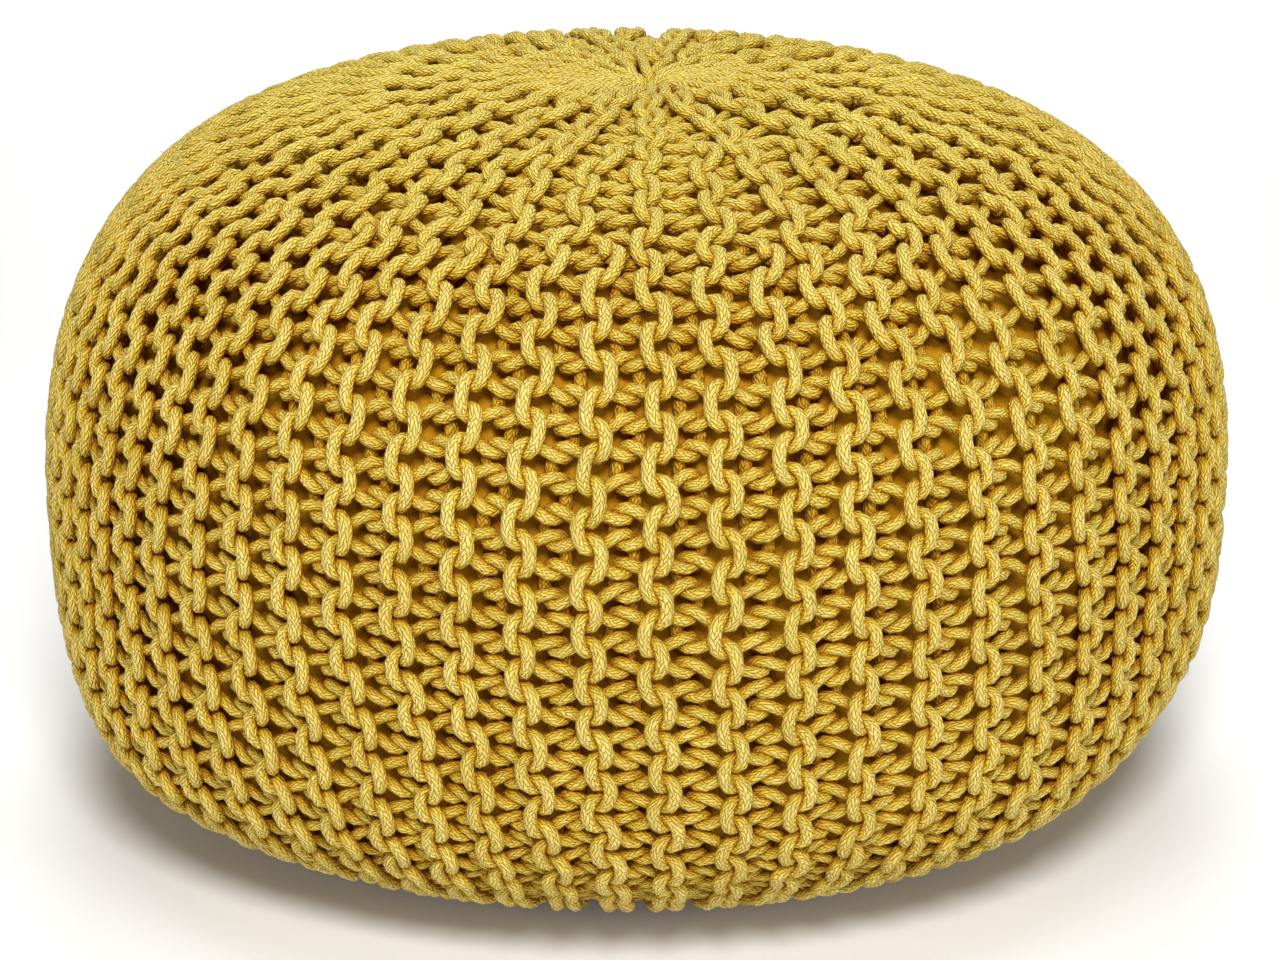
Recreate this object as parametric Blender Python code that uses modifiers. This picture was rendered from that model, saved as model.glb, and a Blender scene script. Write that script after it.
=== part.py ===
"""A round knitted pouf: a thick garter-stitch cover of cotton cord over a filled cloth bag.

Metres, +Z up. The origin is on the ground under the middle of the foot, and -Y is the front.
The cover is knitted sideways as wedges, so its rows run from the drawn-in crown to the drawn-in
eye under the foot. It is built here as one thick skin that reaches as far as its ridges do.
"""

import math

import bmesh
import bpy

# Driving dimensions, in metres.
DIAMETER = 0.548  # across the outer faces of the ridges, at the widest ring, before it swells
HEIGHT = 0.337  # from the ground to the top of the crown
WIDEST_HEIGHT = 0.128  # height of the widest ring
FOOT_RADIUS = 0.132  # the flat that rests on the ground
CROWN_POWER = 3.10  # how square the shoulder above the widest ring is: 2 is an ellipse
BELLY_POWER = 3.10  # the same below it
DIMPLE_DEPTH = 0.004  # where the rows are drawn together at the crown
DIMPLE_RADIUS = 0.030
EYE_RADIUS = 0.0019  # the eye under the foot, drawn in until it is all but closed
SKIN = 0.018  # the knit, from the outside of its outer ridges to the inside of its inner ones
CLEARANCE = 0.0003  # between the knit and the bag

ROUND_STEPS = 48  # facets round each turned piece
CROWN_STEPS = 12  # steps from the crown down to the widest ring
BELLY_STEPS = 7  # steps from there to the foot
FINE_STEPS = 240  # steps of the fine curve that the side steps are read from

# Where the soft filling swells or sinks: azimuth (degrees from the front, to the right),
# height, how far it stands out, and how wide the swelling is.
SWELLINGS = (
    {"azimuth": -52, "height": 0.045, "swell": 0.008, "spread": 0.085},
    {"azimuth": 66, "height": 0.060, "swell": -0.005, "spread": 0.080},
    {"azimuth": 90, "height": 0.150, "swell": 0.006, "spread": 0.130},
)

MATERIALS = {
    "cotton_cord": {"color": (0.552, 0.356, 0.042), "roughness": 0.85, "metallic": 0.0},
    "bag_cloth": {"color": (0.456, 0.231, 0.012), "roughness": 0.90, "metallic": 0.0},
}


def clear_scene():
    """Removes every object that the scene starts with."""
    for item in list(bpy.data.objects):
        bpy.data.objects.remove(item, do_unlink=True)


def make_material(name):
    """A plain material from the table of colours."""
    look = MATERIALS[name]
    material = bpy.data.materials.new(name)
    material.use_nodes = True
    shader = material.node_tree.nodes["Principled BSDF"]
    shader.inputs["Base Color"].default_value = (*look["color"], 1.0)
    shader.inputs["Roughness"].default_value = look["roughness"]
    shader.inputs["Metallic"].default_value = look["metallic"]
    return material


def bulge(power, steps):
    """A quarter of a superellipse with unit half-axes, from its top (0, 1) to its side (1, 0)."""
    points = []
    for step in range(steps + 1):
        angle = math.pi / 2 * step / steps
        points.append((math.sin(angle) ** (2 / power), math.cos(angle) ** (2 / power)))
    return points


def evenly(points, steps):
    """The same curve with points at equal distances along it."""
    along = [0.0]
    for start, end in zip(points, points[1:]):
        along.append(along[-1] + math.dist(start, end))
    spaced = [points[0]]
    index = 0
    for step in range(1, steps):
        wanted = along[-1] * step / steps
        while along[index + 1] < wanted:
            index += 1
        share = (wanted - along[index]) / (along[index + 1] - along[index])
        start, end = points[index], points[index + 1]
        spaced.append(tuple(a + (b - a) * share for a, b in zip(start, end)))
    spaced.append(points[-1])
    return spaced


def outer_profile():
    """The outside of the knit as (radius, height), from the crown to the eye under the foot."""
    radius = DIAMETER / 2
    crown = [
        (
            radius * across,
            WIDEST_HEIGHT
            + (HEIGHT - WIDEST_HEIGHT) * up
            - DIMPLE_DEPTH * math.exp(-((radius * across / DIMPLE_RADIUS) ** 2)),
        )
        for across, up in bulge(CROWN_POWER, FINE_STEPS)
    ]
    # The belly would close below the ground, so it ends where it reaches the foot's radius.
    foot_share = FOOT_RADIUS / radius
    depth = WIDEST_HEIGHT / (1 - foot_share**BELLY_POWER) ** (1 / BELLY_POWER)
    belly = [
        (radius * across, WIDEST_HEIGHT - depth * down)
        for across, down in reversed(bulge(BELLY_POWER, FINE_STEPS))
        if across > foot_share
    ]
    side = evenly(crown, CROWN_STEPS) + evenly(belly + [(FOOT_RADIUS, 0.0)], BELLY_STEPS)[1:]
    return side + [(EYE_RADIUS, 0.0)]


def inset(profile, depth):
    """The profile moved inwards by the depth, square to each of its steps."""
    first, last = profile[0], profile[-1]
    mirrored = (-profile[1][0], profile[1][1])
    padded = [mirrored] + profile + [(last[0] - 1.0, last[1])]
    moved = []
    for before, point, after in zip(padded, padded[1:], padded[2:]):
        normals = []
        for start, end in ((before, point), (point, after)):
            length = math.dist(start, end)
            normals.append(((end[1] - start[1]) / length, (start[0] - end[0]) / length))
        (ar, az), (br, bz) = normals
        reach = depth / (1 + ar * br + az * bz)
        moved.append((point[0] + (ar + br) * reach, point[1] + (az + bz) * reach))
    moved[0] = (first[0], moved[0][1])
    return moved


def swollen(point):
    """A point of the even form, moved to where the soft filling has swelled or sunk."""
    radius = math.hypot(point.x, point.y)
    if radius == 0.0:
        return point
    moved = point.copy()
    for place in SWELLINGS:
        azimuth = math.radians(place["azimuth"])
        centre = (
            DIAMETER / 2 * math.sin(azimuth),
            -DIAMETER / 2 * math.cos(azimuth),
            place["height"],
        )
        nearness = math.exp(-((math.dist(point, centre) / place["spread"]) ** 2))
        moved.x += place["swell"] * nearness * point.x / radius
        moved.y += place["swell"] * nearness * point.y / radius
    return moved


def swell(mesh):
    """Moves the turned mesh to its swollen form, and splits its bent facets along their short side.

    The inside of the knit and the bag bend alike, so facets split alike keep their clearance.
    """
    soft = bmesh.new()
    soft.from_mesh(mesh)
    for corner in soft.verts:
        corner.co = swollen(corner.co)
    bmesh.ops.triangulate(soft, faces=soft.faces[:], quad_method="SHORT_EDGE")
    soft.to_mesh(mesh)
    soft.free()


def turned(name, profile, material_name, collection):
    """A solid turned from a profile, then swollen. The profile starts and ends on the axis."""
    guide_mesh = bpy.data.meshes.new(name + "_profile")
    edges = [(index, index + 1) for index in range(len(profile) - 1)]
    guide_mesh.from_pydata([(radius, 0.0, height) for radius, height in profile], edges, [])
    guide = bpy.data.objects.new(name + "_profile", guide_mesh)
    bpy.context.scene.collection.objects.link(guide)
    screw = guide.modifiers.new("Turn", "SCREW")
    screw.axis = "Z"
    screw.angle = 2 * math.pi
    screw.steps = ROUND_STEPS
    screw.render_steps = ROUND_STEPS
    screw.use_merge_vertices = True
    screw.merge_threshold = 0.00001
    screw.use_smooth_shade = True
    graph = bpy.context.evaluated_depsgraph_get()
    mesh = bpy.data.meshes.new_from_object(guide.evaluated_get(graph))
    bpy.data.objects.remove(guide, do_unlink=True)
    swell(mesh)
    mesh.name = name
    mesh.materials.clear()
    mesh.materials.append(make_material(material_name))
    mesh.shade_smooth()
    solid = bpy.data.objects.new(name, mesh)
    collection.objects.link(solid)
    return solid


def knit_cover(collection):
    """The knitted skin: closed at the crown, with its small drawn-in eye under the foot."""
    outside = outer_profile()
    inside = inset(outside, SKIN)
    return turned("knit_cover", outside + inside[::-1], "cotton_cord", collection)


def inner_bag(collection):
    """The filled bag that shows between the stitches. It fills the cover, and is one solid."""
    side = inset(outer_profile(), SKIN + CLEARANCE)
    return turned("inner_bag", side + [(0.0, side[-1][1])], "bag_cloth", collection)


def main():
    clear_scene()
    pouf = bpy.data.collections.new("knitted_pouf")
    bpy.context.scene.collection.children.link(pouf)
    knit_cover(pouf)
    inner_bag(pouf)


main()
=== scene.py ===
"""The looks of a round pouf, knitted by hand from thick cotton cord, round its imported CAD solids.

Metres, +Z up, and -Y is the front. The cover is garter stitch, made as short-row wedges whose
courses run from the crown to the foot, so its ridges do too. The cord of each course is laid out
stitch by stitch on a chart (turn round the pouf, arc down from the crown, lift off the knit's
middle), then bent round the form.
"""

import math

import bpy
import numpy as np
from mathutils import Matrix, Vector


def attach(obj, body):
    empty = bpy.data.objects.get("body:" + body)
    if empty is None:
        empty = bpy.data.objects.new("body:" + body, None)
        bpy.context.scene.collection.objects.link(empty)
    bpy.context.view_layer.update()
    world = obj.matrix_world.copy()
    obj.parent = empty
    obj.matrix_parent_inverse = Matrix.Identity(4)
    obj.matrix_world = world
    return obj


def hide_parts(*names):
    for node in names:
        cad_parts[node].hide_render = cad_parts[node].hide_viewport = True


# The form, as the CAD has it.
DIAMETER = 0.548
HEIGHT = 0.337
WIDEST_HEIGHT = 0.128
FOOT_RADIUS = 0.132
CROWN_POWER = 3.10
BELLY_POWER = 3.10
DIMPLE_DEPTH = 0.004
DIMPLE_RADIUS = 0.030
SKIN = 0.018

# Where the soft filling swells or sinks: azimuth (degrees from the front, to the right), height,
# how far it stands out, and how wide the swelling is.
SWELLINGS = (
    {"azimuth": -52, "height": 0.045, "swell": 0.008, "spread": 0.085},
    {"azimuth": 66, "height": 0.060, "swell": -0.005, "spread": 0.080},
    {"azimuth": 90, "height": 0.150, "swell": 0.006, "spread": 0.130},
)
# Slighter ones, which the CAD leaves out.
SLIGHT_SWELLINGS = (
    {"azimuth": -78, "height": 0.050, "swell": -0.0050, "spread": 0.070},
    {"azimuth": -97, "height": 0.245, "swell": -0.0050, "spread": 0.090},
    {"azimuth": 46, "height": 0.030, "swell": 0.0035, "spread": 0.080},
    {"azimuth": 2, "height": 0.025, "swell": -0.0030, "spread": 0.080},
)

PROFILE_POINTS = 1600  # evenly spaced along the profile
SMOOTHED = 15  # points either side that the profile's direction is smoothed over
NARROWEST = 0.006  # the least radius at which a distance sideways is turned into an angle
CORE = {"radius": 0.14, "height": 0.15}  # the ring inside the pouf that outward is away from

# The bag.
BAG_DEPTH = 0.0165  # how far it lies inside the knit's outer face
BAG_RINGS = 110  # steps from its top to its bottom
BAG_AROUND = 160  # and round it

# The cord.
CORD = 0.0059  # diameter
MIDDLE = 0.0074  # how far the middle of the knit lies inside its outer face
THINNEST = 0.88  # how thin it is drawn in the middle of the knit, as a share of its diameter
THICKEST = 1.09  # and how thick it is in its loops
LUMPS = 0.022  # how unevenly thick it is
STRAIGHT_SHARE = 0.45  # rings for a diameter of straight cord, to those for a radian of bend
SIDES = 8  # facets round it
SAMPLES = 18  # rings along each stitch
STRANDS = 10  # that lie each way round its braid
BRAID_PITCH = 0.034  # how far along the cord a strand takes to go once round it
BRAID_WANDER = 2.2  # how far its strands stray, in strands

# The loose threads.
FIBRES = 14  # on each gore
FIBRE = 0.00022  # diameter
FIBRE_TAPER = (1.1, 0.4)  # its thickness at the root and at the tip, to that
FIBRE_SIDES = 4  # facets round it
FIBRE_POINTS = 12  # along it
FIBRE_REACH = (0.003, 0.008)  # how far it lies along the knit, from least to most
FIBRE_CURL = (1.5, 5.0)  # radians that it curls through
FIBRE_BEND = 0.5  # how far it slants, at most, to its reach
FIBRE_RISE = 0.0016  # how high it arches
FIBRE_ARCH = (1.6, 3.0)  # radians of its arch
FIBRE_ROOT = -0.0036  # the least lift of the cord's middle where it springs up

# The knitting. A wedge has three pairs of courses. The second and third pairs are short rows,
# and turn back at these stitches. A pair opens from a narrow start to its full width.
WEDGES = 21
GORES = 7  # the pieces that the cover is made as
FIRST_TURN = 0.0379  # radians from the front to the first wedge's left line
STITCHES = 31
PAIRS = (
    {"first": 0, "last": STITCHES},
    {"first": 3, "last": 28},
    {"first": 6, "last": 25},
)
FULL_START = 6  # the point of the first stitch that a full course starts at
SHORT_START = 11  # and that a short one does
OPENING = 0.32  # share of its full width that a short pair starts with
OPENING_STITCHES = 1.5  # how far it takes to reach its full width
FIRST_ROW = 0.026  # arc from the crown to the first row

# The drawn-in ends of the full courses: how near the pole the first one comes up, how much further
# off each later one does, and how many such steps there are. Then an end's points, for the first
# and the second course of a pair: how much further out each lies, and its lift.
NEAREST_END = 0.0036
END_STEP = 0.0021
END_ORDERS = 7
END_POINTS = (
    {"out": (-0.0020, 0.0, 0.0045), "lift": (-0.0125, -0.0060, -0.0034)},
    {"out": (0.0, 0.0050, 0.0110), "lift": (-0.0085, -0.0080, -0.0078)},
)

# How long a stitch is at each stitch from the crown.
STITCH_LENGTHS = (
    {"stitch": 0, "length": 0.0268},
    {"stitch": 6, "length": 0.0268},
    {"stitch": 9, "length": 0.0266},
    {"stitch": 11.5, "length": 0.0225},
    {"stitch": 14.5, "length": 0.0205},
    {"stitch": 19, "length": 0.0217},
    {"stitch": 31, "length": 0.0222},
)

# Half a stitch of a course whose left loops face outwards, as the points that its cord passes at
# its left line. beside (to the right), slip (towards the foot) and lift (outwards) are in cord
# diameters, line says how far across the course the point is, and row is in stitches. The other
# half is this half turned over, at the right line.
HALF_STITCH = (
    {"line": 0.5, "beside": 0.00, "row": 0.00, "slip": 0.00, "lift": 0.00},
    {"line": 0.0, "beside": 0.73, "row": 0.00, "slip": -0.25, "lift": 0.08},
    {"line": 0.0, "beside": 0.37, "row": 0.00, "slip": -0.40, "lift": 0.18},
    {"line": 0.0, "beside": 0.03, "row": 0.00, "slip": -0.45, "lift": 0.38},
    {"line": 0.0, "beside": -0.25, "row": 0.00, "slip": -0.36, "lift": 0.64},
    {"line": 0.0, "beside": -0.45, "row": 0.00, "slip": -0.13, "lift": 0.88},
    {"line": 0.0, "beside": -0.58, "row": 0.00, "slip": 0.21, "lift": 1.03},
    {"line": 0.0, "beside": -0.64, "row": 0.25, "slip": 0.00, "lift": 1.11},
    {"line": 0.0, "beside": -0.58, "row": 0.50, "slip": -0.21, "lift": 1.03},
    {"line": 0.0, "beside": -0.45, "row": 0.50, "slip": 0.13, "lift": 0.88},
    {"line": 0.0, "beside": -0.25, "row": 0.50, "slip": 0.36, "lift": 0.64},
    {"line": 0.0, "beside": 0.03, "row": 0.50, "slip": 0.45, "lift": 0.38},
    {"line": 0.0, "beside": 0.37, "row": 0.50, "slip": 0.40, "lift": 0.18},
    {"line": 0.0, "beside": 0.73, "row": 0.50, "slip": 0.25, "lift": 0.08},
)
LIFT_KEPT = 0.75  # share of its lift on the chart that the cord keeps, pressed flat

# The settling of the cords.
NODES = 20  # points a stitch
ROUNDS = 160
DRAWING_IN = 0.4  # share of the rounds over which the stitches are brought to their lengths
CONTACT = 0.83 * CORD  # how close two cords' middles come, pressed together
PUSH = 0.22  # share of an overlap that each cord gives way by, each round
REACH = 0.0075  # pairs this close are watched
WATCH_EVERY = 8  # rounds between looks for such pairs
NEIGHBOURS = 3  # points this near along one strand don't push each other
STIFF = 0.02  # how readily a bend evens out, each round
INNER_TIGHTER = 0.12  # how much shorter a loop is drawn on the bag than at the outside
TAUT = 1.035  # how long a stitch is, to the length that it was laid with
UNEVEN = 0.03  # how far stitches differ in length
HOLD = 0.01  # how strongly a cord is drawn to where it was laid
LOWEST = -0.0118  # the lift of a cord's middle at the deepest
HIGHEST = -0.48 * CORD  # and furthest out

# The grid that lifts are read from, in metres.
GRID = 0.002  # its step
GRID_RADIUS = 0.31
GRID_FLOOR = -0.02
GRID_TOP = 0.36

# The ridges lie closer together at the left than at the right, in radians.
DRIFT = {"left": 0.13, "twice": 0.02}

# Low down they lean to the front round this turn: how far the lean spreads and reaches, in
# radians, and the arcs that it grows between.
LEAN = {"turn": -0.70, "spread": 0.62, "reach": 0.085, "from_arc": 0.33, "to_arc": 0.50}

# How far the cord swings beside its line: its share of the room, the spacing in diameters at which
# it stops, over how many more it grows, and its least.
SWING = {"share": 0.65, "none_at": 0.8, "grows_over": 0.68, "least": 0.10}

# On the crown the cord swings less than at the side, from the edge of the rosette in its middle on.
# It is a little thinner there, but lies fuller inside the knit.
CROWN = {
    "from_arc": 0.15,
    "to_arc": 0.25,
    "straighter": 0.17,
    "rosette": 0.085,
    "rosette_edge": 0.05,
    "thinner": 0.03,
    "fuller": 0.17,
    "fuller_from": 2.5,
}

# Where the courses are drawn together, off the middle of the crown.
DRAWN_TO = {"right": 0.009, "back": 0.008, "reach": 0.13}

# Slow and quick waves that pull the stitches out of true, in metres, and how many of each.
WAVES_EACH = 14
WAVES = (
    {"length": 0.150, "sideways": 0.0013, "along": 0.0009, "lift": 0.0000},
    {"length": 0.075, "sideways": 0.0008, "along": 0.0008, "lift": 0.0002},
    {"length": 0.032, "sideways": 0.0007, "along": 0.0007, "lift": 0.0004},
)

# The photograph's view, on a 1280 x 960 image.
VIEW_DISTANCE = 1.65
VIEW_ELEVATION = 18.7
VIEW_LENS = 98.46
VIEW_CENTRE = Vector((0, 0, 0.169))
AIM_BELOW = 0.0269
AIM_RIGHT = 0.0047

LIGHTS = (
    {"name": "key", "place": (0.1, -2.0, 1.95), "aim": (0, 0, 0.15), "size": 0.8, "power": 62},
    {"name": "front_left", "place": (-2.0, -2.0, 0.9), "aim": (0, 0, 0.15), "size": 1.0, "power": 12},
    {"name": "front_right", "place": (2.1, -1.9, 0.9), "aim": (0, 0, 0.15), "size": 1.0, "power": 16},
    {"name": "overhead", "place": (0.0, -0.2, 2.3), "aim": (0, 0, 0.15), "size": 1.2, "power": 15},
    {"name": "behind", "place": (0.0, 2.7, 2.2), "aim": (0, 2.3, 0), "size": 2.0, "power": 60},
)


def profile():
    """The outer profile from the crown to the middle of the foot, by its arc, with its normals."""
    radius = DIAMETER / 2
    angle = np.linspace(0, math.pi / 2, 2000)
    across = np.sin(angle) ** (2 / CROWN_POWER)
    up = np.cos(angle) ** (2 / CROWN_POWER)
    crown_radius = radius * across
    dimple = DIMPLE_DEPTH * np.exp(-((crown_radius / DIMPLE_RADIUS) ** 2))
    crown_height = WIDEST_HEIGHT + (HEIGHT - WIDEST_HEIGHT) * up - dimple
    foot_share = FOOT_RADIUS / radius
    depth = WIDEST_HEIGHT / (1 - foot_share**BELLY_POWER) ** (1 / BELLY_POWER)
    across = np.cos(angle) ** (2 / BELLY_POWER)
    down = np.sin(angle) ** (2 / BELLY_POWER)
    belly = across > foot_share
    radii = np.concatenate([crown_radius, radius * across[belly][1:], [FOOT_RADIUS, 0.0]])
    heights = np.concatenate([crown_height, WIDEST_HEIGHT - depth * down[belly][1:], [0.0, 0.0]])
    arcs = np.concatenate([[0], np.cumsum(np.hypot(np.diff(radii), np.diff(heights)))])
    arc = np.linspace(0, arcs[-1], PROFILE_POINTS)
    radii = np.interp(arc, arcs, radii)
    heights = np.interp(arc, arcs, heights)
    kernel = np.hanning(2 * SMOOTHED + 1) / np.hanning(2 * SMOOTHED + 1).sum()
    slopes = []
    for values in (radii, heights):
        slope = np.pad(np.gradient(values, arc), SMOOTHED, mode="edge")
        slopes.append(np.convolve(slope, kernel, mode="valid"))
    size = np.hypot(*slopes)
    out, up = -slopes[1] / size, slopes[0] / size
    return {"arc": arc, "radius": radii, "height": heights, "out": out, "up": up}


PROFILE = profile()


def swollen(points):
    """Points of the even form, moved to where the soft filling has swelled or sunk."""
    radius = np.maximum(np.hypot(points[..., 0], points[..., 1]), 1e-6)
    moved = points.copy()
    for place in SWELLINGS + SLIGHT_SWELLINGS:
        azimuth = math.radians(place["azimuth"])
        centre = (
            DIAMETER / 2 * math.sin(azimuth),
            -DIAMETER / 2 * math.cos(azimuth),
            place["height"],
        )
        away = np.linalg.norm(points - np.array(centre), axis=-1)
        push = place["swell"] * np.exp(-((away / place["spread"]) ** 2)) / radius
        moved[..., 0] += push * points[..., 0]
        moved[..., 1] += push * points[..., 1]
    return moved


def on_form(turn, beside, arc, lift):
    """Chart points in space. The lift is from the outside of the knit."""
    radius = np.interp(arc, PROFILE["arc"], PROFILE["radius"])
    height = np.interp(arc, PROFILE["arc"], PROFILE["height"])
    out = np.interp(arc, PROFILE["arc"], PROFILE["out"])
    up = np.interp(arc, PROFILE["arc"], PROFILE["up"])
    around = radius + out * lift
    angle = turn + beside / np.maximum(around, NARROWEST)
    points = [around * np.sin(angle), -around * np.cos(angle), height + up * lift]
    return np.stack(points, axis=-1)


def row_arcs(rows):
    """The arc of each row, in stitches from the first."""
    fine = np.linspace(0, STITCHES, 20 * STITCHES + 1)
    stitches = [entry["stitch"] for entry in STITCH_LENGTHS]
    lengths = [entry["length"] for entry in STITCH_LENGTHS]
    length = np.interp(fine, stitches, lengths)
    steps = (length[1:] + length[:-1]) / 2 * np.diff(fine)
    return np.interp(rows, fine, FIRST_ROW + np.concatenate([[0], np.cumsum(steps)]))


def pair_width(pair, rows):
    """The width of each course of a pair at these rows, as a share of its full width."""
    if pair["first"] == 0:
        return np.ones_like(rows)
    inside = np.minimum(rows - pair["first"], pair["last"] - rows)
    width = OPENING + (1 - OPENING) * np.clip(inside / OPENING_STITCHES, 0, 1)
    return np.where(inside > 0, width, 0.0)


def line_turn(line, rows):
    """The turn of a wedge's line (0 to 6, or between two) at these rows, from the wedge's left."""
    widths = np.stack([pair_width(pair, rows) for pair in PAIRS for _ in range(2)])
    edges = np.concatenate([np.zeros_like(widths[:1]), np.cumsum(widths, axis=0)])
    low = np.floor(line).astype(int)
    high = np.minimum(low + 1, len(widths))
    left, right = (np.take_along_axis(edges, index[None], axis=0)[0] for index in (low, high))
    share = line - low
    return (left * (1 - share) + right * share) / edges[-1] * 2 * math.pi / WEDGES


def crowding(rows, arcs):
    """How far the cord swings beside its line: 1 at the side, less on the crown, and near 0 where
    lines crowd.
    """
    pairs = sum(pair_width(pair, rows) for pair in PAIRS)
    spacing = np.interp(arcs, PROFILE["arc"], PROFILE["radius"]) * 2 * math.pi / WEDGES / pairs
    room = SWING["share"] * (spacing - SWING["none_at"] * CORD) / (SWING["grows_over"] * CORD)
    swing = np.clip(room, SWING["least"], 1.0)
    past_rosette = np.clip((arcs - CROWN["rosette"]) / CROWN["rosette_edge"], 0, 1)
    return swing * (1 - CROWN["straighter"] * on_crown(arcs) * past_rosette)


def on_crown(arcs):
    """1 on the crown and 0 at the side."""
    return 1 - eased(arcs, CROWN)


def eased(arcs, span):
    """0 up to the span's first arc, 1 from its last, and a smooth rise between."""
    share = np.clip((arcs - span["from_arc"]) / (span["to_arc"] - span["from_arc"]), 0, 1)
    return share**2 * (3 - 2 * share)


def drifted(turn, arcs):
    """Where round the pouf a turn of the even chart lies, with its drift and its lean."""
    turn = turn - DRIFT["left"] * np.cos(turn) + DRIFT["twice"] * np.sin(2 * turn) + DRIFT["left"]
    off = np.angle(np.exp(1j * (turn - LEAN["turn"])))
    return turn + LEAN["reach"] * eased(arcs, LEAN) * np.exp(-((off / LEAN["spread"]) ** 2))


def off_centre(turn, arcs):
    """The turn and arc at which courses lie near the crown, where they are drawn off its middle."""
    near = np.exp(-((arcs / DRAWN_TO["reach"]) ** 2))
    right = arcs * np.sin(turn) + DRAWN_TO["right"] * near
    back = DRAWN_TO["back"] * near - arcs * np.cos(turn)
    return np.arctan2(right, -back), np.hypot(right, back)


def course_chart(course, first, last):
    """The chart rows (line, beside, row, slip, lift) of a course, from one stitch to another."""
    facing = 1 if course % 2 == 0 else -1
    whole = []
    for half in (0, 1):
        for point in HALF_STITCH:
            line = point["line"] if half == 0 else 1 - point["line"]
            flip = 1 if half == 0 else -1
            whole.append(
                (
                    course + line,
                    flip * point["beside"],
                    point["row"] + half / 2,
                    point["slip"],
                    facing * flip * point["lift"],
                )
            )
    whole = np.array(whole)
    stitches = np.arange(first, last)
    table = np.repeat(whole[None], len(stitches), axis=0)
    table[:, :, 2] += stitches[:, None]
    return table.reshape(-1, 5)


def chart_to_form(table, wedge, waves):
    """Chart rows (line, beside, row, slip, lift) of a wedge, as points in space."""
    line, beside, row, slip, lift = table.T
    arcs = row_arcs(row)
    turn = FIRST_TURN + wedge * 2 * math.pi / WEDGES + line_turn(line, row)
    turn, arcs = off_centre(drifted(turn, arcs), arcs)
    true = on_form(turn, 0 * turn, arcs, 0 * turn - MIDDLE)
    pull = waves(true)
    beside = beside * CORD * crowding(row, arcs) + pull[:, 0]
    arcs = arcs + slip * CORD + pull[:, 1]
    return on_form(turn, beside, arcs, lift * LIFT_KEPT * CORD - MIDDLE + pull[:, 2])


def make_waves(random):
    """A smooth field of small sideways, along and lift pulls, as a function of a point in space."""
    waves = []
    for wave in WAVES:
        for _ in range(WAVES_EACH):
            direction = random.normal(size=3)
            direction *= 2 * math.pi / wave["length"] / np.linalg.norm(direction)
            size = random.normal(size=3) * (wave["sideways"], wave["along"], wave["lift"])
            phase = random.uniform(0, 2 * math.pi)
            waves.append((direction, phase, size / math.sqrt(WAVES_EACH / 2)))

    def pull(points):
        total = np.zeros_like(points)
        for direction, phase, size in waves:
            total += np.sin(points @ direction + phase)[:, None] * size
        return total

    return pull


def smooth_curve(points, closed, per_point=6):
    """A smooth curve through the points: a B-spline whose own points are solved for."""
    count = len(points)
    weights = np.eye(count) * 4 / 6
    for index in range(count):
        for beside in (index - 1, index + 1):
            if closed:
                weights[index, beside % count] += 1 / 6
            else:
                weights[index, min(max(beside, 0), count - 1)] += 1 / 6
    controls = np.linalg.solve(weights, points.reshape(count, -1)).reshape(points.shape)
    if closed:
        controls = np.concatenate([controls[-1:], controls, controls[:2]])
        segments = count
    else:
        controls = np.concatenate([controls[:1], controls, controls[-1:]])
        segments = count - 1
    share = np.arange(per_point)[:, None] / per_point
    parts = []
    for index in range(segments):
        a, b, c, d = controls[index : index + 4]
        parts.append(
            (
                (1 - share) ** 3 * a
                + (3 * share**3 - 6 * share**2 + 4) * b
                + (-3 * share**3 + 3 * share**2 + 3 * share + 1) * c
                + share**3 * d
            )
            / 6
        )
    last = points[:1] if closed else points[-1:]
    return np.concatenate([*parts, last])


def evenly(curve, count):
    """The curve with this many points, evenly spaced along it."""
    along = distances(curve)
    wanted = np.linspace(0, along[-1], count)
    return np.stack([np.interp(wanted, along, curve[:, axis]) for axis in range(3)], axis=1)


def distances(curve):
    """How far along the curve each of its points is."""
    return np.concatenate([[0], np.cumsum(np.linalg.norm(np.diff(curve, axis=0), axis=1))])


def depth_grid():
    """The lift off the even form, and its slopes, at each place of a grid of (radius, height)."""
    radii = np.arange(0.0, GRID_RADIUS, GRID)
    heights = np.arange(GRID_FLOOR, GRID_TOP, GRID)
    around = np.stack([PROFILE["radius"], PROFILE["height"]], axis=1)
    out = np.stack([PROFILE["out"], PROFILE["up"]], axis=1)
    lifts = np.empty((len(radii), len(heights)))
    for index, radius in enumerate(radii):
        away = np.stack([np.full(len(heights), radius), heights], axis=1)[:, None] - around[None]
        nearest = np.argmin((away**2).sum(axis=2), axis=1)
        away = away[np.arange(len(heights)), nearest]
        side = np.sign((away * out[nearest]).sum(axis=1))
        lifts[index] = side * np.linalg.norm(away, axis=1)
    slope_r, slope_z = np.gradient(lifts, GRID)
    return np.stack([lifts, slope_r, slope_z], axis=-1)


def depth_at(grid, points):
    """The lift of each point off the form's outside, and the outward direction there."""
    radius = np.maximum(np.hypot(points[:, 0], points[:, 1]), 1e-6)
    row = np.clip(radius / GRID, 0, grid.shape[0] - 1.001)
    column = np.clip((points[:, 2] - GRID_FLOOR) / GRID, 0, grid.shape[1] - 1.001)
    i, j = row.astype(int), column.astype(int)
    u, v = (row - i)[:, None], (column - j)[:, None]
    value = (1 - u) * (1 - v) * grid[i, j] + u * (1 - v) * grid[i + 1, j]
    value += (1 - u) * v * grid[i, j + 1] + u * v * grid[i + 1, j + 1]
    size = np.maximum(np.hypot(value[:, 1], value[:, 2]), 1e-6)
    level = value[:, 1] / size / radius
    out = [level * points[:, 0], level * points[:, 1], value[:, 2] / size]
    return value[:, 0], np.stack(out, axis=1)


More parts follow.
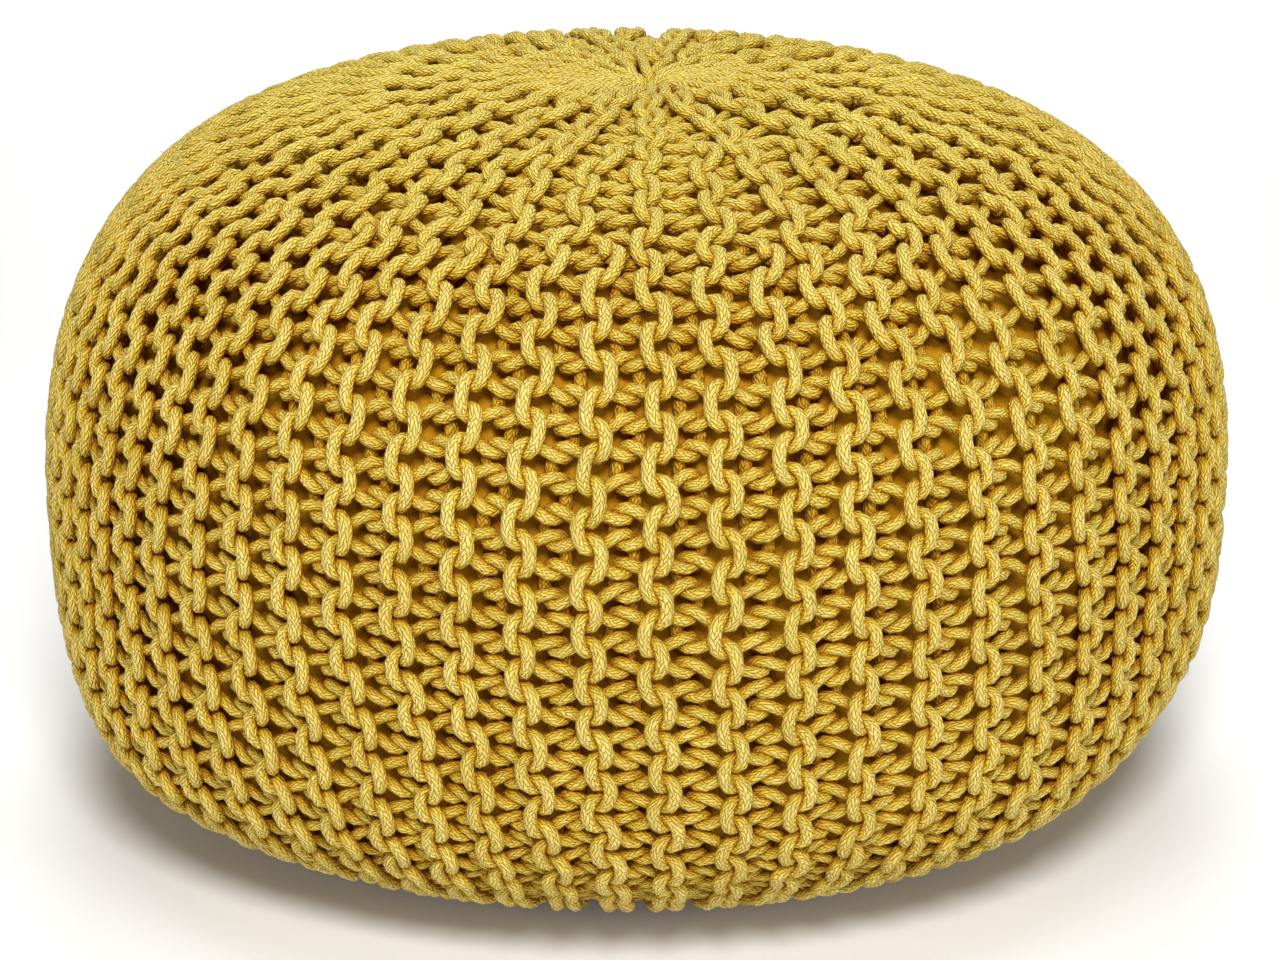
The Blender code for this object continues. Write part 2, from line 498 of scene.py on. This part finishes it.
def near_pairs(points, strand, place, length):
    """Pairs of points that lie close together, apart from neighbours on one strand."""
    cell = np.floor((points - points.min(axis=0)) / REACH).astype(np.int64) + 1
    size = cell.max(axis=0) + 2
    key = (cell[:, 0] * size[1] + cell[:, 1]) * size[2] + cell[:, 2]
    order = np.argsort(key, kind="stable")
    ranked = key[order]
    firsts, seconds = [], []
    for x_step in (-1, 0, 1):
        for y_step in (-1, 0, 1):
            column = key + (x_step * size[1] + y_step) * size[2]
            low = np.searchsorted(ranked, column - 1, "left")
            count = np.searchsorted(ranked, column + 1, "right") - low
            first = np.repeat(np.arange(len(points)), count)
            shift = np.repeat(low - np.concatenate([[0], np.cumsum(count)[:-1]]), count)
            second = order[shift + np.arange(len(first))]
            keep = first < second
            first, second = first[keep], second[keep]
            near = ((points[first] - points[second]) ** 2).sum(axis=1) < REACH**2
            firsts.append(first[near])
            seconds.append(second[near])
    first, second = np.concatenate(firsts), np.concatenate(seconds)
    apart = np.abs(place[first] - place[second])
    apart = np.minimum(apart, np.abs(length[first] - apart))
    keep = (strand[first] != strand[second]) | (apart > NEIGHBOURS)
    return first[keep], second[keep]


def settle(curves, loops, grid, random):
    """Draws the cords taut, and pushes them apart where they touch, between bag and outside.

    Each curve is an even number of points, a closed one if its place in loops says so.
    """
    counts = np.array([len(curve) for curve in curves])
    starts = np.concatenate([[0], np.cumsum(counts)[:-1]])
    points = np.concatenate(curves)
    target = points.copy()
    strand = np.repeat(np.arange(len(curves)), counts)
    place = np.arange(len(points)) - starts[strand]
    length = counts[strand]
    after = np.arange(len(points)) + 1
    last = starts + counts - 1
    after[last] = starts
    before = np.empty_like(after)
    before[after] = np.arange(len(points))
    linked = np.ones(len(points), bool)
    held = np.zeros(len(points), bool)
    for index, closed in enumerate(loops):
        if not closed:
            linked[last[index]] = False
            held[[starts[index], starts[index] + 1, last[index] - 1, last[index]]] = True
    rest = np.linalg.norm(points[after] - points, axis=1)
    lift, _ = depth_at(grid, points)
    rest *= 1 - INNER_TIGHTER * np.clip(-(lift + MIDDLE) / CORD, 0, 1)
    for index, count in enumerate(counts):
        stitches = random.normal(size=count // NODES + 1)
        along = np.arange(count) / NODES
        uneven = 1 + UNEVEN * np.interp(along, np.arange(len(stitches)), stitches)
        rest[starts[index] : starts[index] + count] *= uneven
    colors = [np.nonzero(linked & (place % 2 == odd))[0] for odd in (0, 1)]
    inner = linked & linked[before]
    deep = np.nonzero(inner & inner[before] & inner[after])[0]
    ahead_two, before_two = after[after], before[before]
    for step in range(ROUNDS):
        if step % WATCH_EVERY == 0:
            first, second = near_pairs(points, strand, place, length)
        away = points[first] - points[second]
        gap = np.sqrt((away**2).sum(axis=1))
        tight = gap < CONTACT
        one, two = first[tight], second[tight]
        push = away[tight] * (PUSH * (CONTACT / gap[tight] - 1))[:, None]
        for axis in range(3):
            points[:, axis] += np.bincount(one, push[:, axis], len(points))
            points[:, axis] -= np.bincount(two, push[:, axis], len(points))
        bend = 4 * (points[before[deep]] + points[after[deep]]) - 6 * points[deep]
        points[deep] += STIFF * (bend - points[before_two[deep]] - points[ahead_two[deep]])
        taut = 1 - (1 - TAUT) * min(1, step / (ROUNDS * DRAWING_IN))
        for _ in range(2):
            for color in colors:
                ahead = points[after[color]] - points[color]
                size = np.sqrt((ahead**2).sum(axis=1))
                move = ahead * (0.5 * (1 - taut * rest[color] / size))[:, None]
                points[color] += move
                points[after[color]] -= move
        points += HOLD * (target - points)
        lift, out = depth_at(grid, points)
        fix = np.maximum(LOWEST - lift, 0) - np.maximum(lift - HIGHEST, 0)
        points += out * fix[:, None]
        points[held] = target[held]
    return np.split(points, starts[1:])


def outward(points):
    """A smooth outward direction at each point of the pouf."""
    radius = np.hypot(points[:, 0], points[:, 1])
    keep = np.minimum(radius, CORE["radius"]) / np.maximum(radius, 1e-6)
    height = np.full(len(points), CORE["height"])
    away = points - np.stack([points[:, 0] * keep, points[:, 1] * keep, height], axis=1)
    return away / np.linalg.norm(away, axis=1, keepdims=True)


def tube(points, along, radius, lift, sides):
    """The rings of a cord along the points. Each corner's lay is its place round and along the
    cord, and its sunk is 0 at the outside of the knit and 1 at the bag.
    """
    ahead = np.gradient(points, axis=0)
    ahead /= np.linalg.norm(ahead, axis=1, keepdims=True)
    side = np.cross(ahead, outward(points))
    side /= np.linalg.norm(side, axis=1, keepdims=True)
    front = np.cross(side, ahead)
    angle = np.arange(sides) * 2 * math.pi / sides
    corners = points[:, None] + radius[:, None, None] * (
        np.cos(angle)[None, :, None] * front[:, None] + np.sin(angle)[None, :, None] * side[:, None]
    )
    corners[..., 2] = np.maximum(corners[..., 2], 0.0)
    lay = np.empty(corners.shape)
    lay[..., 0] = np.cos(angle)
    lay[..., 1] = np.sin(angle)
    lay[..., 2] = along[:, None]
    sunk = np.clip(-(lift[:, None] + radius[:, None] * np.cos(angle)) / SKIN, 0, 1)
    return corners, lay, sunk


def full_course(course, wedge, waves):
    """A course that runs from the crown to the foot, drawn in to the middle at both ends."""
    body = chart_to_form(course_chart(course, 0, STITCHES)[FULL_START:], wedge, waves)
    middle = FIRST_TURN + (wedge + (course + 0.5 * (course % 2)) / 2) * 2 * math.pi / WEDGES
    reach = NEAREST_END + END_STEP * (3 * wedge % END_ORDERS)
    arcs = reach + np.array(END_POINTS[course % 2]["out"])
    lift = np.array(END_POINTS[course % 2]["lift"])
    turn, near = off_centre(drifted(middle, arcs), arcs)
    start = on_form(turn, 0 * near, near, lift)
    arcs = (PROFILE["arc"][-1] - arcs)[::-1]
    end = on_form(drifted(middle, arcs), 0 * arcs, arcs, lift[::-1])
    last = chart_to_form(closing_points(course), wedge, waves)
    return np.concatenate([start, body, last, end])


def closing_points(course):
    """The last row's points at the left line, from which a full course runs on to the foot."""
    facing = 1 if course % 2 == 0 else -1
    rows = []
    for point in HALF_STITCH[:FULL_START]:
        line, lift = course + point["line"], facing * point["lift"]
        rows.append((line, point["beside"], STITCHES, point["slip"], lift))
    return np.array(rows, float)


def short_pair(pair_index, wedge, waves):
    """The two courses of a short pair, one closed loop: down the first, a turn, up the second."""
    pair = PAIRS[pair_index]
    left, right = 2 * pair_index, 2 * pair_index + 1
    first, last = pair["first"], pair["last"]
    down = course_chart(left, first, last)[SHORT_START:]
    up = course_chart(right, first, last)[SHORT_START:][::-1]
    # Each row is line, beside, row, slip and lift, as in the chart.
    foot_turn = np.array(
        [
            (left + 0.5, 0.00, last, 0.00, 0.00),
            (left, 0.37, last, -0.40, 0.18),
            (left, 0.00, last, -0.45, 0.40),
            (left, -0.25, last, -0.10, 0.85),
            (left, 0.00, last, 0.45, 0.95),
            (left + 0.4, 0.00, last, 0.85, 0.40),
            (right, -0.30, last, 0.60, -0.60),
            (right, -0.35, last, 0.00, -0.80),
            (right, 0.00, last, -0.45, -0.40),
            (right, 0.37, last, -0.40, -0.18),
            (right + 0.5, 0.00, last, 0.00, 0.00),
        ]
    )
    crown_turn = np.array(
        [
            (right, -0.35, first + 0.5, 0.00, -0.80),
            (right, -0.30, first + 0.5, -0.60, -0.60),
            (left + 0.4, 0.00, first + 0.5, -0.95, 0.30),
            (left, -0.10, first + 0.5, -0.60, 0.90),
            (left, -0.35, first + 0.5, -0.05, 0.90),
        ]
    )
    return chart_to_form(np.concatenate([down, foot_turn, up, crown_turn]), wedge, waves)


def gore_mesh(name, strands):
    """One mesh of many cords, each with its points, along, radius, lift and number of sides."""
    corners, lays, sunks, quads, caps = [], [], [], [], []
    start = 0
    for strand in strands:
        rings, lay, sunk = tube(**strand)
        count, sides = len(rings), strand["sides"]
        corners.append(rings.reshape(-1, 3))
        lays.append(lay.reshape(-1, 3))
        sunks.append(sunk.ravel())
        ring = np.arange(count - 1)[:, None] * sides
        step = np.arange(sides)[None]
        after = (step + 1) % sides
        quad = [ring + step, ring + after, ring + after + sides, ring + step + sides]
        quads.append(start + np.stack(quad, axis=-1).reshape(-1, 4))
        caps.append(start + np.arange(sides)[::-1])
        caps.append(start + (count - 1) * sides + np.arange(sides))
        start += count * sides
    made = build_mesh(name, np.concatenate(corners), np.concatenate(quads), caps)
    attribute = made.data.attributes.new("lay", "FLOAT_VECTOR", "POINT")
    attribute.data.foreach_set("vector", np.concatenate(lays).astype(np.float32).ravel())
    attribute = made.data.attributes.new("sunk", "FLOAT", "POINT")
    attribute.data.foreach_set("value", np.concatenate(sunks).astype(np.float32))
    return made


def build_mesh(name, corners, quads, caps):
    """A smooth mesh object from arrays."""
    mesh = bpy.data.meshes.new(name)
    loops = np.concatenate([quads.ravel(), *caps])
    sizes = np.concatenate([np.full(len(quads), 4), [len(cap) for cap in caps]]).astype(np.int32)
    starts = np.concatenate([[0], np.cumsum(sizes)[:-1]]).astype(np.int32)
    mesh.vertices.add(len(corners))
    mesh.vertices.foreach_set("co", corners.astype(np.float32).ravel())
    mesh.loops.add(len(loops))
    mesh.loops.foreach_set("vertex_index", loops.astype(np.int32))
    mesh.polygons.add(len(sizes))
    mesh.polygons.foreach_set("loop_start", starts)
    mesh.update(calc_edges=True)
    mesh.shade_smooth()
    made = bpy.data.objects.new(name, mesh)
    bpy.context.scene.collection.objects.link(made)
    return made


def knit(material):
    """The knitted cover, as gores of three wedges each."""
    random = np.random.default_rng(21)
    waves = make_waves(random)
    curves, loops, sizes = [], [], []
    for wedge in range(WEDGES):
        for course in (0, 1):
            curves.append(laid(full_course(course, wedge, waves), False, STITCHES))
            loops.append(False)
            sizes.append(STITCHES)
        for pair_index in (1, 2):
            pair = PAIRS[pair_index]
            stitches = 2 * (pair["last"] - pair["first"])
            curves.append(laid(short_pair(pair_index, wedge, waves), True, stitches))
            loops.append(True)
            sizes.append(stitches)
    grid = depth_grid()
    curves = settle(curves, loops, grid, random)
    gores = []
    each = len(curves) // GORES
    for gore in range(GORES):
        strands = []
        for index in range(gore * each, (gore + 1) * each):
            strands.append(finished(curves[index], loops[index], sizes[index], grid, random))
        strands += stray_fibres(strands, random)
        made = gore_mesh(f"knit_gore_{gore + 1}", strands)
        made.data.materials.append(material)
        gores.append(made)
    return gores


def laid(points, closed, stitches):
    """A cord through the points, as evenly spaced points to settle."""
    curve = evenly(smooth_curve(points, closed), stitches * NODES + int(closed))
    return curve[:-1] if closed else curve


def finished(curve, closed, stitches, grid, random):
    """A settled cord as a strand on the swollen form. It is thinner in the middle of the knit."""
    if closed:
        curve = np.concatenate([curve, curve[:1]])
    curve = closer_at_bends(refined(curve, closed), stitches * SAMPLES)
    lift, _ = depth_at(grid, curve)
    swing = np.clip(np.abs(lift + MIDDLE) / CORD, 0, 1)
    radius = CORD / 2 * (THINNEST + (THICKEST - THINNEST) * swing**2)
    radius *= 1 + LUMPS * random.normal(size=len(curve)).clip(-2, 2)
    loose = on_crown(HEIGHT - curve[:, 2] + np.hypot(curve[:, 0], curve[:, 1]))
    inside = np.clip(-(lift + MIDDLE) / CORD * CROWN["fuller_from"], 0, 1)
    radius *= 1 - CROWN["thinner"] * loose + CROWN["fuller"] * loose * inside
    curve = swollen(curve)
    curve[:, 2] = np.maximum(curve[:, 2], radius)
    along = distances(curve) + random.uniform(0, 0.1)
    return {"points": curve, "along": along, "radius": radius, "lift": lift, "sides": SIDES}


def closer_at_bends(curve, count):
    """The curve with this many points, which lie closer together where it bends."""
    steps = np.diff(curve, axis=0)
    sizes = np.linalg.norm(steps, axis=1)
    ahead = steps / sizes[:, None]
    turns = np.linalg.norm(np.diff(ahead, axis=0, prepend=ahead[:1]), axis=1)
    turns = np.convolve(np.pad(turns, 4, mode="edge"), np.hanning(9) / 4, mode="valid")
    along = np.concatenate([[0], np.cumsum(sizes * STRAIGHT_SHARE / CORD + turns)])
    wanted = np.linspace(0, along[-1], count)
    return np.stack([np.interp(wanted, along, curve[:, axis]) for axis in range(3)], axis=1)


def stray_fibres(strands, random):
    """Fine loose threads that have sprung out of the cords at the outside."""
    fibres = []
    steps = np.linspace(0, 1, FIBRE_POINTS)
    while len(fibres) < FIBRES:
        strand = strands[random.integers(len(strands))]
        index = random.integers(2, len(strand["points"]) - 2)
        if strand["lift"][index] < FIBRE_ROOT:
            continue
        root = strand["points"][index]
        out = outward(root[None])[0]
        ahead = random.normal(size=3)
        ahead -= out * (ahead @ out)
        ahead /= np.linalg.norm(ahead)
        side = np.cross(out, ahead)
        reach = random.uniform(*FIBRE_REACH)
        curl = random.uniform(*FIBRE_CURL)
        bend = random.uniform(-FIBRE_BEND, FIBRE_BEND)
        arch = np.sin(steps * random.uniform(*FIBRE_ARCH))
        rise = strand["radius"][index] * 0.95 + FIBRE_RISE * arch
        away = reach / curl * np.sin(curl * steps)
        beside = reach / curl * (1 - np.cos(curl * steps)) + bend * reach * steps
        points = root + np.outer(rise, out) + np.outer(away, ahead) + np.outer(beside, side)
        fibres.append(
            {
                "points": points,
                "along": steps * reach,
                "radius": FIBRE / 2 * np.linspace(*FIBRE_TAPER, FIBRE_POINTS),
                "lift": 0 * steps,
                "sides": FIBRE_SIDES,
            }
        )
    return fibres


def refined(curve, closed):
    """The curve with two more points between each two, on smooth cubics."""
    if closed:
        padded = np.concatenate([curve[-2:-1], curve, curve[1:2]])
    else:
        padded = np.concatenate([curve[:1], curve, curve[-1:]])
    a, b, c, d = padded[:-3], padded[1:-2], padded[2:-1], padded[3:]
    parts = [b]
    for share in (1 / 3, 2 / 3):
        parts.append(
            b
            + share * (c - a) / 2
            + share**2 * (a - 2.5 * b + 2 * c - d / 2)
            + share**3 * (1.5 * (b - c) + (d - a) / 2)
        )
    fine = np.stack(parts, axis=1).reshape(-1, 3)
    return np.concatenate([fine, curve[-1:]])


def bag(material):
    """The filled cloth bag inside the cover."""
    rings, around = BAG_RINGS - 2, BAG_AROUND
    arcs = np.linspace(0, PROFILE["arc"][-1], BAG_RINGS)[1:-1]
    turns = np.arange(around) * 2 * math.pi / around
    arc, turn = np.meshgrid(arcs, turns, indexing="ij")
    lift = np.full(arc.shape, -BAG_DEPTH)
    corners = swollen(on_form(turn, 0 * turn, arc, lift).reshape(-1, 3))
    top = on_form(np.zeros(1), np.zeros(1), np.zeros(1), np.full(1, -BAG_DEPTH))
    bottom = np.array([[0, 0, BAG_DEPTH]])
    corners = np.concatenate([corners, top, bottom])
    ring = np.arange(rings - 1)[:, None] * around
    step = np.arange(around)[None]
    after = (step + 1) % around
    quad = [ring + step, ring + step + around, ring + after + around, ring + after]
    quads = np.stack(quad, axis=-1)
    last = (rings - 1) * around
    caps = []
    for index in range(around):
        following = (index + 1) % around
        caps.append(np.array([len(corners) - 2, index, following]))
        caps.append(np.array([last + following, last + index, len(corners) - 1]))
    made = build_mesh("bag", corners, quads.reshape(-1, 4), caps)
    made.data.materials.append(material)
    return made


class Wiring:
    """Adds nodes to a material and links them."""

    def __init__(self, material):
        material.use_nodes = True
        self.tree = material.node_tree
        self.shader = self.tree.nodes["Principled BSDF"]

    def node(self, kind, **settings):
        made = self.tree.nodes.new(kind)
        for key, value in settings.items():
            setattr(made, key, value)
        return made

    def feed(self, socket, value):
        if isinstance(value, bpy.types.NodeSocket):
            self.tree.links.new(value, socket)
        else:
            socket.default_value = value

    def math(self, operation, *values):
        made = self.node("ShaderNodeMath", operation=operation)
        for socket, value in zip(made.inputs, values):
            self.feed(socket, value)
        return made.outputs[0]

    def noise(self, vector, scale, detail=2.0, roughness=0.5):
        made = self.node("ShaderNodeTexNoise")
        self.feed(made.inputs["Vector"], vector)
        made.inputs["Scale"].default_value = scale
        made.inputs["Detail"].default_value = detail
        made.inputs["Roughness"].default_value = roughness
        return made.outputs["Fac"]

    def ramp(self, factor, stops):
        made = self.node("ShaderNodeValToRGB")
        elements = made.color_ramp.elements
        while len(elements) < len(stops):
            elements.new(0.5)
        for element, (position, color) in zip(elements, stops):
            element.position = position
            element.color = (*color, 1.0)
        self.feed(made.inputs["Fac"], factor)
        return made.outputs["Color"]

    def mix(self, factor, first, second, blend="MIX"):
        made = self.node("ShaderNodeMix", data_type="RGBA", blend_type=blend)
        self.feed(made.inputs["Factor"], factor)
        self.feed(made.inputs["A"], first)
        self.feed(made.inputs["B"], second)
        return made.outputs["Result"]

    def openness(self, distance):
        """How open a place is: 1 on the open surface, and near 0 in a gap or between two cords."""
        made = self.node("ShaderNodeAmbientOcclusion", samples=4)
        made.inputs["Distance"].default_value = distance
        return made.outputs["AO"]

    def bump(self, height, distance):
        made = self.node("ShaderNodeBump")
        made.inputs["Strength"].default_value = 1.0
        made.inputs["Distance"].default_value = distance
        self.feed(made.inputs["Height"], height)
        self.feed(self.shader.inputs["Normal"], made.outputs["Normal"])


def rounded(wiring, place):
    """A rounded profile: 0 where the place is 0 or 1, and 1 halfway."""
    rest = wiring.math("SUBTRACT", 1.0, place)
    return wiring.math("MULTIPLY", wiring.math("MULTIPLY", place, 4.0), rest)


def braid(wiring, wander):
    """The height of a braid in which each strand passes over two and under two."""
    lay = wiring.node("ShaderNodeAttribute", attribute_name="lay")
    split = wiring.node("ShaderNodeSeparateXYZ")
    wiring.feed(split.inputs[0], lay.outputs["Vector"])
    turn = wiring.math("ARCTAN2", split.outputs["Y"], split.outputs["X"])
    around = wiring.math("MULTIPLY", turn, STRANDS / (2 * math.pi))
    along = wiring.math("MULTIPLY", split.outputs["Z"], STRANDS / BRAID_PITCH)
    along = wiring.math("MULTIPLY_ADD", wander, BRAID_WANDER, along)
    right = wiring.math("ADD", around, along)
    left = wiring.math("SUBTRACT", around, along)
    right_part, left_part = wiring.math("FRACT", right), wiring.math("FRACT", left)
    crossing = wiring.math("ADD", wiring.math("FLOOR", right), wiring.math("FLOOR", left))
    crossing = wiring.math("FLOORED_MODULO", crossing, 4.0)
    over = wiring.math("LESS_THAN", crossing, 1.5)
    second = wiring.math("FLOORED_MODULO", crossing, 2.0)
    leaning = wiring.math("SUBTRACT", right_part, left_part)
    across = wiring.math("MULTIPLY_ADD", over, leaning, left_part)
    lengthways = wiring.math("SUBTRACT", wiring.math("ADD", right_part, left_part), across)
    lengthways = wiring.math("MULTIPLY", wiring.math("ADD", lengthways, second), 0.5)
    arch = wiring.math("POWER", rounded(wiring, lengthways), 0.6)
    arch = wiring.math("MULTIPLY_ADD", arch, 0.6, 0.4)
    return wiring.math("MULTIPLY", wiring.math("POWER", rounded(wiring, across), 0.55), arch)


def cord_material():
    """Braided cotton cord, dyed mustard, with painted shade deep in the knit and painted highlights.
    """
    material = bpy.data.materials.new("cotton_cord_look")
    wiring = Wiring(material)
    place = wiring.node("ShaderNodeTexCoord").outputs["Object"]
    wander = wiring.math("SUBTRACT", wiring.noise(place, 160.0, 2.0), 0.5)
    patchy = wiring.math("MULTIPLY_ADD", wiring.noise(place, 420.0, 2.0), 1.0, 0.5)
    strands = wiring.math("MULTIPLY", braid(wiring, wander), patchy)
    fuzz = wiring.noise(place, 1500.0, 3.0, 0.65)
    height = wiring.math("MULTIPLY_ADD", fuzz, 0.40, strands)
    wiring.bump(height, 0.00120)
    dye = wiring.noise(place, 26.0, 3.0)
    outer_dye = wiring.ramp(dye, [(0.35, (0.70, 0.50, 0.033)), (0.65, (0.77, 0.575, 0.048))])
    # deep is painted shade: the browner colour that the cord is drawn in deeper inside the knit.
    deep = wiring.ramp(dye, [(0.35, (0.64, 0.39, 0.014)), (0.65, (0.71, 0.45, 0.022))])
    sunk = wiring.node("ShaderNodeAttribute", attribute_name="sunk").outputs["Fac"]
    # Painted shade: the deeper the cord lies in the knit, by its sunk, the more it takes the browner
    # deep colour.
    color = wiring.mix(wiring.ramp(sunk, [(0.40, (0, 0, 0)), (1.0, (1, 1, 1))]), outer_dye, deep)
    # Painted shade and painted highlight: by how open a place is, the cord is drawn darker and redder
    # in gaps and between cords, and paler on its open faces.
    shade = [
        (0.14, (0.64, 0.23, 0.004)),
        (0.45, (0.81, 0.57, 0.04)),
        (0.75, (0.97, 0.92, 0.50)),
        (0.97, (1.03, 1.07, 2.10)),
    ]
    # The crown's gaps are shallow; there the painted shade is also weaker, which paints light from
    # above into them, and the colour is made less blue.
    split = wiring.node("ShaderNodeSeparateXYZ")
    wiring.feed(split.inputs[0], place)
    upper = wiring.ramp(split.outputs["Z"], [(0.285, (0, 0, 0)), (0.325, (1, 1, 1))])
    opened = wiring.math("MULTIPLY_ADD", upper, 0.22, wiring.openness(0.012))
    color = wiring.mix(1.0, color, wiring.ramp(opened, shade), "MULTIPLY")
    color = wiring.mix(upper, color, (1.02, 1.02, 0.70, 1.0), "MULTIPLY")
    # Painted shade and painted highlight: the cord is drawn darker and browner in the grooves between
    # its strands, and paler on the strands' crowns.
    between = [(0.08, (0.60, 0.36, 0.09)), (0.45, (0.98, 0.98, 0.95)), (0.95, (1.12, 1.18, 2.5))]
    color = wiring.mix(0.9, color, wiring.ramp(strands, between), "MULTIPLY")
    fibre = wiring.ramp(fuzz, [(0.32, (0.76, 0.66, 0.46)), (0.68, (1.18, 1.22, 1.50))])
    color = wiring.mix(0.8, color, fibre, "MULTIPLY")
    wiring.feed(wiring.shader.inputs["Base Color"], color)
    roughness = wiring.math("MULTIPLY_ADD", fuzz, 0.30, 0.40)
    wiring.feed(wiring.shader.inputs["Roughness"], roughness)
    wiring.shader.inputs["Specular IOR Level"].default_value = 0.22
    wiring.shader.inputs["Sheen Weight"].default_value = 0.03
    wiring.shader.inputs["Sheen Roughness"].default_value = 0.5
    wiring.shader.inputs["Sheen Tint"].default_value = (1.0, 0.85, 0.35, 1.0)
    return material


def bag_material():
    """Plain-woven amber cotton cloth, drawn dark brown as painted shade where the knit closes over
    it.
    """
    material = bpy.data.materials.new("bag_cloth_look")
    wiring = Wiring(material)
    place = wiring.node("ShaderNodeTexCoord").outputs["Object"]
    weave = wiring.noise(place, 900.0, 2.0)
    slubs = wiring.noise(place, 60.0, 3.0)
    color = wiring.ramp(slubs, [(0.3, (0.67, 0.38, 0.005)), (0.7, (0.76, 0.45, 0.008))])
    # Painted shade: where the bag lies closed in by the knit, it is drawn dark brown.
    painted_gap_shade = wiring.ramp(wiring.openness(0.014), [(0.14, (1, 1, 1)), (0.68, (0, 0, 0))])
    color = wiring.mix(painted_gap_shade, color, (0.38, 0.095, 0.001, 1.0))
    wiring.feed(wiring.shader.inputs["Base Color"], color)
    wiring.shader.inputs["Roughness"].default_value = 0.85
    wiring.shader.inputs["Specular IOR Level"].default_value = 0.2
    wiring.bump(weave, 0.0004)
    return material


def floor():
    """The plain pale floor."""
    corners = np.array([(-8, -6, 0), (8, -6, 0), (8, 14, 0), (-8, 14, 0)], float)
    made = build_mesh("floor", corners, np.array([[0, 1, 2, 3]]), [])
    material = bpy.data.materials.new("pale_floor")
    wiring = Wiring(material)
    wiring.shader.inputs["Base Color"].default_value = (0.92, 0.92, 0.91, 1.0)
    wiring.shader.inputs["Roughness"].default_value = 0.7
    wiring.shader.inputs["Emission Color"].default_value = (1.0, 1.0, 1.0, 1.0)
    wiring.shader.inputs["Emission Strength"].default_value = 0.04
    made.data.materials.append(material)


def camera():
    """The photograph's view: far off and a little above."""
    elevation = math.radians(VIEW_ELEVATION)
    back = Vector((0, -math.cos(elevation), math.sin(elevation)))
    above = Vector((0, math.sin(elevation), math.cos(elevation)))
    data = bpy.data.cameras.new("view")
    data.lens = VIEW_LENS
    data.sensor_width = 36
    eye = bpy.data.objects.new("view", data)
    bpy.context.scene.collection.objects.link(eye)
    eye.location = VIEW_CENTRE + back * VIEW_DISTANCE
    aim = VIEW_CENTRE - above * AIM_BELOW + Vector((AIM_RIGHT, 0, 0))
    eye.rotation_mode = "QUATERNION"
    eye.rotation_quaternion = (aim - eye.location).to_track_quat("-Z", "Y")
    bpy.context.scene.camera = eye


def lights():
    """Soft studio light: a softbox above the camera, one at each side, one overhead, and one on the
    floor behind.
    """
    for entry in LIGHTS:
        data = bpy.data.lights.new(entry["name"], "AREA")
        data.shape = "DISK"
        data.size = entry["size"]
        data.energy = entry["power"]
        lamp = bpy.data.objects.new(entry["name"], data)
        bpy.context.scene.collection.objects.link(lamp)
        lamp.location = entry["place"]
        aim = Vector(entry["aim"]) - Vector(entry["place"])
        lamp.rotation_mode = "QUATERNION"
        lamp.rotation_quaternion = aim.to_track_quat("-Z", "Y")
    world = bpy.data.worlds.new("studio")
    world.use_nodes = True
    world.node_tree.nodes["Background"].inputs["Color"].default_value = (1, 1, 1, 1)
    world.node_tree.nodes["Background"].inputs["Strength"].default_value = 0.09
    bpy.context.scene.world = world


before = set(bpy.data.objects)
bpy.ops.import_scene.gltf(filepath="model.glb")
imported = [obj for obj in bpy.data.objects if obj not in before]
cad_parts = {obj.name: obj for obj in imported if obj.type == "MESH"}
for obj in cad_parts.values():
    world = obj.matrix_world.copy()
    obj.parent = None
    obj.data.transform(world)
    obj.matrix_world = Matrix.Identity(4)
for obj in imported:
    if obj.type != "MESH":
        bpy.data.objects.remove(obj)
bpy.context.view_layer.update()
filling = bag(bag_material())
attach(filling, "root")
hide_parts("inner_bag")
for gore in knit(cord_material()):
    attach(gore, "root")
    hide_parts("knit_cover")
floor()
camera()
lights()
bpy.context.scene.view_settings.view_transform = "Standard"
